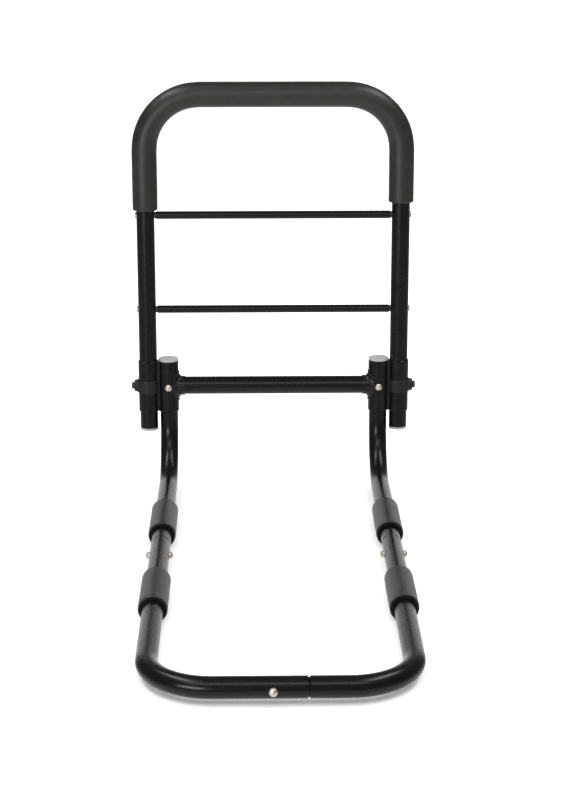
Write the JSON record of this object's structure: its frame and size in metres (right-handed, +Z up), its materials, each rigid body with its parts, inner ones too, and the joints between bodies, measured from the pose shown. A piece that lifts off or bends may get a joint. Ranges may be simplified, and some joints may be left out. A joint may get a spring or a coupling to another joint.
{
  "type": "bed assist rail",
  "caption": "Freestanding bed rail: an inverted-U foam-gripped handle with rungs held in sleeves on a bent-tube base that lies under the mattress.",
  "frame": {"origin": "middle of the whole outline's footprint, level with the underside of the base's foam sleeves", "axes": "+X along the bed's edge to the right as seen from the mattress, +Y out of the bed, -Y in under the mattress, +Z up"},
  "size_m": [0.4086, 0.795, 0.5816],
  "materials": {
    "black_tube": "satin",
    "foam": "matte",
    "black_plastic": "satin",
    "black_button": "satin",
    "grey_plastic": "satin",
    "nickel_button": "polished",
    "zinc_screw": "satin",
    "dark_insert": "satin",
    "spring_steel": "satin"
  },
  "bodies": {
    "base": {"crossbar": "black_tube", "leg_sleeve_left": "black_tube", "handle_sleeve_left": "black_tube", "sleeve_web_left": "black_tube", "sleeve_cap_left": "grey_plastic", "crossbar_weld_left": "black_tube", "lock_collar_left": "black_plastic", "rear_leg_left": "black_tube", "front_leg_left": "black_tube", "rear_foam_left": "foam", "front_foam_left": "foam", "leg_clip_left": "spring_steel", "joint_clip_left": "spring_steel", "leg_sleeve_right": "black_tube", "handle_sleeve_right": "black_tube", "sleeve_web_right": "black_tube", "sleeve_cap_right": "grey_plastic", "crossbar_weld_right": "black_tube", "lock_collar_right": "black_plastic", "rear_leg_right": "black_tube", "front_leg_right": "black_tube", "rear_foam_right": "foam", "front_foam_right": "foam", "leg_clip_right": "spring_steel", "joint_clip_right": "spring_steel", "bar_clip": "spring_steel"},
    "handle": {"handle_tube": "black_tube", "handle_foam_grip": "foam", "lower_rung": "black_tube", "lower_rung_insert_left": "dark_insert", "lower_rung_screw_left": "zinc_screw", "lower_rung_insert_right": "dark_insert", "lower_rung_screw_right": "zinc_screw", "upper_rung": "black_tube", "upper_rung_insert_left": "dark_insert", "upper_rung_screw_left": "zinc_screw", "upper_rung_insert_right": "dark_insert", "upper_rung_screw_right": "zinc_screw", "handle_end_plug_left": "grey_plastic", "handle_lock_clip_left": "spring_steel", "handle_end_plug_right": "grey_plastic", "handle_lock_clip_right": "spring_steel"},
    "lock_button_left": {"lock_button_left": "black_button"},
    "leg_pin_left": {"leg_pin_left": "nickel_button"},
    "joint_pin_left_outer": {"joint_pin_left_outer": "nickel_button"},
    "joint_pin_left_inner": {"joint_pin_left_inner": "nickel_button"},
    "lock_button_right": {"lock_button_right": "black_button"},
    "leg_pin_right": {"leg_pin_right": "nickel_button"},
    "joint_pin_right_outer": {"joint_pin_right_outer": "nickel_button"},
    "joint_pin_right_inner": {"joint_pin_right_inner": "nickel_button"},
    "bar_pin": {"bar_pin": "nickel_button"}
  },
  "joints": [
    {"name": "handle_slide", "type": "slide", "parent": "base", "child": "handle", "axis": [0, 0, 1], "range_m": [0, 0.075], "deforming": ["handle_lock_clip_left", "handle_lock_clip_right"]},
    {"name": "lock_button_left_press", "type": "slide", "parent": "base", "child": "lock_button_left", "axis": [1, 0, 0], "range_m": [0, 0.0033], "stiffness_N_per_m": 1500},
    {"name": "leg_pin_left_press", "type": "slide", "parent": "base", "child": "leg_pin_left", "axis": [0, 1, 0], "range_m": [0, 0.0063], "stiffness_N_per_m": 1200, "deforming": ["leg_clip_left"]},
    {"name": "joint_pin_left_outer_press", "type": "slide", "parent": "base", "child": "joint_pin_left_outer", "axis": [1, 0, 0], "range_m": [0, 0.0062], "stiffness_N_per_m": 1200, "deforming": ["joint_clip_left"]},
    {"name": "joint_pin_left_inner_press", "type": "slide", "parent": "base", "child": "joint_pin_left_inner", "axis": [-1, 0, 0], "range_m": [0, 0.0062], "stiffness_N_per_m": 1200, "deforming": ["joint_clip_left"]},
    {"name": "lock_button_right_press", "type": "slide", "parent": "base", "child": "lock_button_right", "axis": [-1, 0, 0], "range_m": [0, 0.0033], "stiffness_N_per_m": 1500},
    {"name": "leg_pin_right_press", "type": "slide", "parent": "base", "child": "leg_pin_right", "axis": [0, 1, 0], "range_m": [0, 0.0063], "stiffness_N_per_m": 1200, "deforming": ["leg_clip_right"]},
    {"name": "joint_pin_right_outer_press", "type": "slide", "parent": "base", "child": "joint_pin_right_outer", "axis": [-1, 0, 0], "range_m": [0, 0.0062], "stiffness_N_per_m": 1200, "deforming": ["joint_clip_right"]},
    {"name": "joint_pin_right_inner_press", "type": "slide", "parent": "base", "child": "joint_pin_right_inner", "axis": [1, 0, 0], "range_m": [0, 0.0062], "stiffness_N_per_m": 1200, "deforming": ["joint_clip_right"]},
    {"name": "bar_pin_press", "type": "slide", "parent": "base", "child": "bar_pin", "axis": [0, 1, 0], "range_m": [0, 0.0062], "stiffness_N_per_m": 1200, "deforming": ["bar_clip"]}
  ]
}
